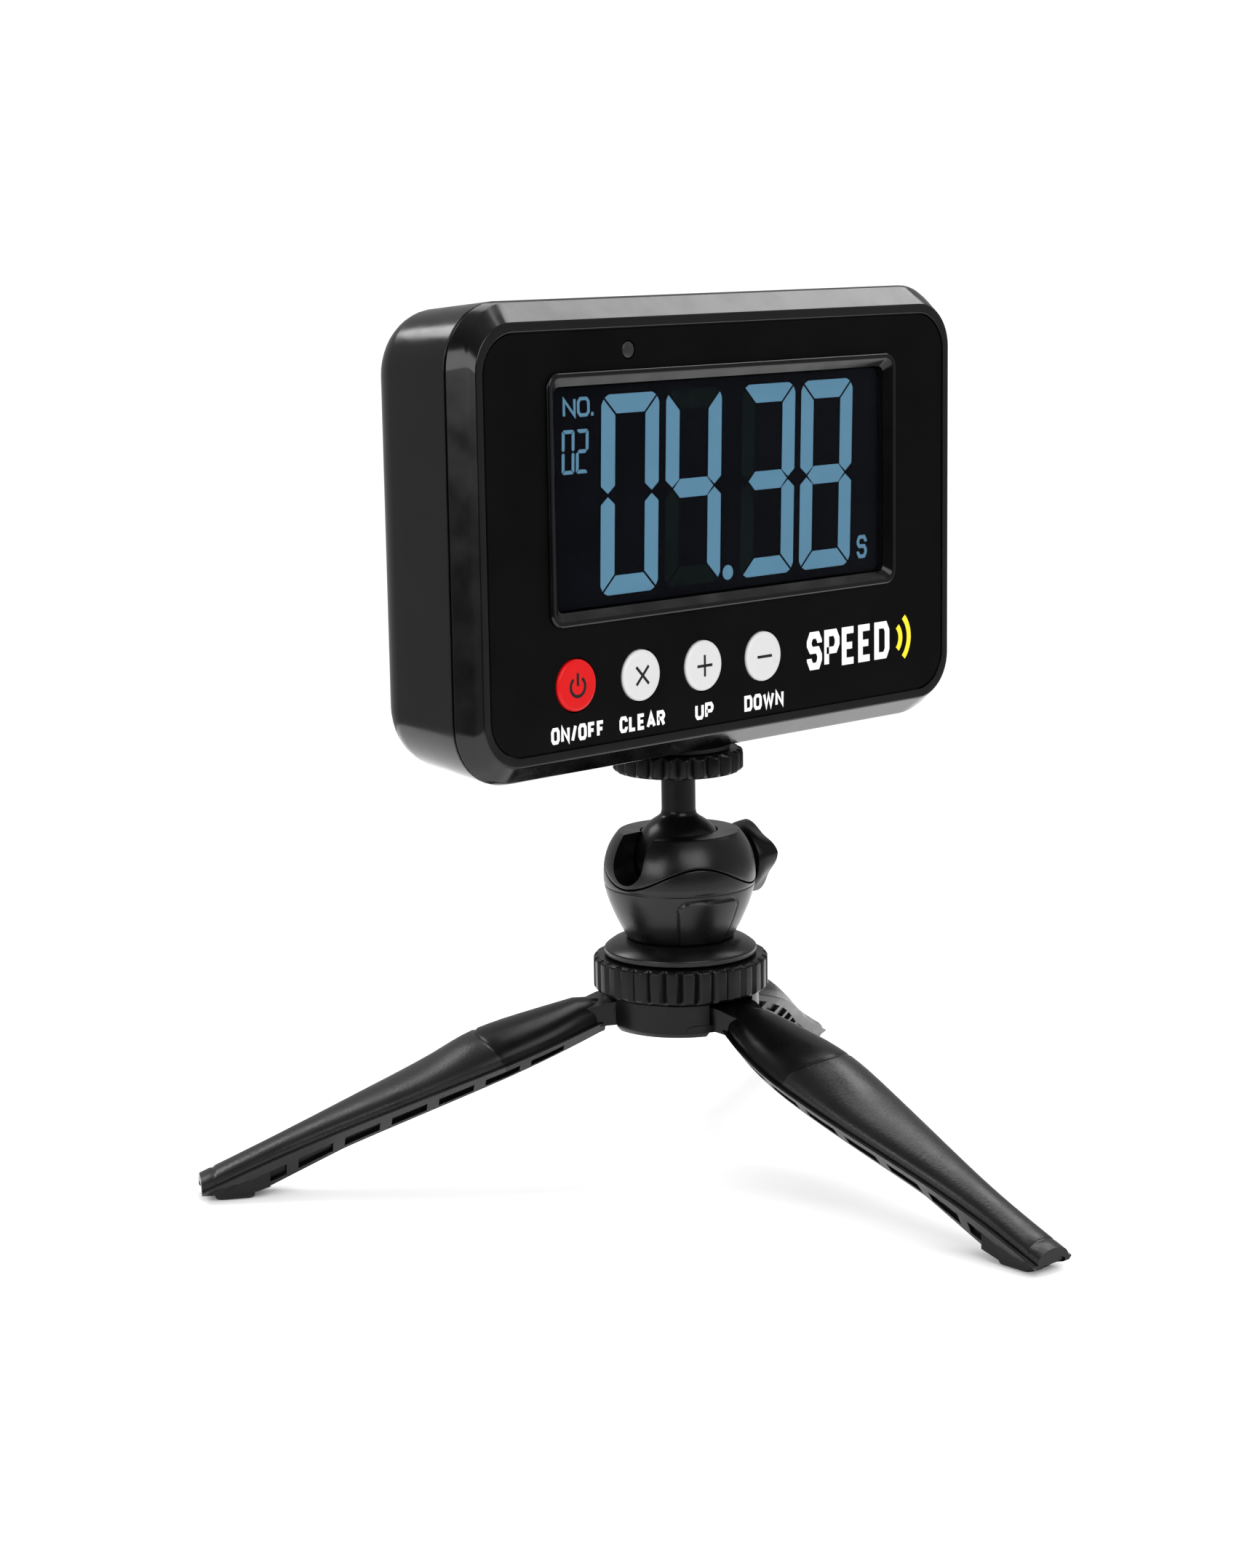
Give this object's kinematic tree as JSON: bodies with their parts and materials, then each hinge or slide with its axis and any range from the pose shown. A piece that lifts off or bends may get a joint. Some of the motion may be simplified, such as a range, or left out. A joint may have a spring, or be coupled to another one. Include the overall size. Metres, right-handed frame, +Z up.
{
  "type": "sports speed radar display on a mini tripod",
  "caption": "Black rectangular speed radar with a large dark LCD and a row of round buttons, on a mini tripod with a ball head and folding legs.",
  "frame": {"origin": "middle of the footprint, on the surface that the feet stand on", "axes": "the display faces -Y, +X is to the viewer's right of the display, +Z is up"},
  "size_m": [0.187, 0.1652, 0.1871],
  "materials": {
    "satin_black": "satin",
    "shell_black": "satin",
    "gloss_black": "gloss",
    "panel_black": "fine satin film",
    "clear": "clear",
    "lcd": "dark negative display",
    "white_plastic": "satin",
    "red_plastic": "satin",
    "board_green": "lacquered board",
    "component_black": "matt",
    "steel": "plated",
    "brass": "turned",
    "rubber": "matt",
    "cell_jacket": "printed jacket"
  },
  "bodies": {
    "hub_base": {"hub": "satin_black", "hub_bottom_plate": "satin_black", "leg_pin_front": "steel", "leg_pin_left": "steel", "leg_pin_right": "steel", "pan_bolt": "steel"},
    "front_leg": {"leg_front": "satin_black", "foot_pad_front": "rubber"},
    "left_leg": {"leg_left": "satin_black", "foot_pad_left": "rubber"},
    "right_leg": {"leg_right": "satin_black", "foot_pad_right": "rubber"},
    "ring": {"lock_ring": "satin_black"},
    "head": {"housing_upper": "satin_black", "housing_lower": "satin_black", "ball_seat": "white_plastic", "pan_base": "satin_black"},
    "clamp": {"clamp_knob": "satin_black", "clamp_screw": "steel"},
    "stem": {"ball_stem": "satin_black", "mount_stud": "steel"},
    "wheel": {"mount_wheel": "satin_black", "mount_pad": "rubber"},
    "unit": {"front_frame": "shell_black", "front_panel": "panel_black", "window_bezel": "gloss_black", "display_lens": "clear", "sensor_window": "clear", "rear_shell": "shell_black", "shell_screw_1": "steel", "shell_screw_2": "steel", "shell_screw_3": "steel", "shell_screw_4": "steel", "lcd_glass": "lcd", "lcd_holder": "satin_black", "backlight_panel": "white_plastic", "main_board": "board_green", "switch_power": "component_black", "switch_clear": "component_black", "switch_up": "component_black", "switch_down": "component_black", "light_sensor": "clear", "buzzer": "component_black", "radar_module": "steel", "battery_box": "satin_black", "battery_1": "cell_jacket", "battery_2": "cell_jacket", "battery_3": "cell_jacket", "battery_4": "cell_jacket", "contact_left": "steel", "contact_right": "steel", "tripod_nut": "brass"},
    "power_key": {"button_power": "red_plastic"},
    "clear_key": {"button_clear": "white_plastic"},
    "up_key": {"button_up": "white_plastic"},
    "down_key": {"button_down": "white_plastic"},
    "cover": {"battery_cover": "shell_black"}
  },
  "joints": [
    {"name": "front_leg_fold", "type": "hinge", "parent": "hub_base", "child": "front_leg", "pos_m": [-0.00213, 0.00897, 0.0354], "axis": [0.9994, -0.0349, 0], "range_deg": [0, 70]},
    {"name": "right_leg_fold", "type": "hinge", "parent": "hub_base", "child": "right_leg", "pos_m": [0.01017, 0.02865, 0.0354], "axis": [-0.4695, 0.8829, 0], "range_deg": [0, 70]},
    {"name": "left_leg_fold", "type": "hinge", "parent": "hub_base", "child": "left_leg", "pos_m": [-0.01303, 0.02947, 0.0354], "axis": [-0.5299, -0.848, 0], "range_deg": [0, 70]},
    {"name": "ring_turn", "type": "hinge", "parent": "hub_base", "child": "ring", "pos_m": [-0.00166, 0.02236, 0.0427], "axis": [0, 0, 1], "continuous": true},
    {"name": "head_pan", "type": "hinge", "parent": "hub_base", "child": "head", "pos_m": [-0.00166, 0.02236, 0.049], "axis": [0, 0, 1], "continuous": true},
    {"name": "clamp_turn", "type": "hinge", "parent": "head", "child": "clamp", "pos_m": [0.01534, 0.02236, 0.0644], "axis": [1, 0, 0], "range_deg": [-180, 180]},
    {"name": "ball_tilt", "type": "hinge", "parent": "head", "child": "stem", "pos_m": [-0.00166, 0.02236, 0.0674], "axis": [0, 1, 0], "range_deg": [-45, 25]},
    {"name": "wheel_turn", "type": "hinge", "parent": "stem", "child": "wheel", "pos_m": [-0.00166, 0.02236, 0.0887], "axis": [0, 0, 1], "continuous": true},
    {"name": "unit_turn", "type": "hinge", "parent": "stem", "child": "unit", "pos_m": [-0.00166, 0.02236, 0.0925], "axis": [0, 0, 1], "continuous": true},
    {"name": "power_press", "type": "slide", "parent": "unit", "child": "power_key", "axis": [0, 1, 0], "range_m": [0, 0.0006], "stiffness_N_per_m": 1500, "springref_m": -0.0004},
    {"name": "clear_press", "type": "slide", "parent": "unit", "child": "clear_key", "axis": [0, 1, 0], "range_m": [0, 0.0006], "stiffness_N_per_m": 1500, "springref_m": -0.0004},
    {"name": "up_press", "type": "slide", "parent": "unit", "child": "up_key", "axis": [0, 1, 0], "range_m": [0, 0.0006], "stiffness_N_per_m": 1500, "springref_m": -0.0004},
    {"name": "down_press", "type": "slide", "parent": "unit", "child": "down_key", "axis": [0, 1, 0], "range_m": [0, 0.0006], "stiffness_N_per_m": 1500, "springref_m": -0.0004},
    {"name": "cover_lift", "type": "slide", "parent": "unit", "child": "cover", "axis": [0, 1, 0], "range_m": [0, 0.02]}
  ]
}
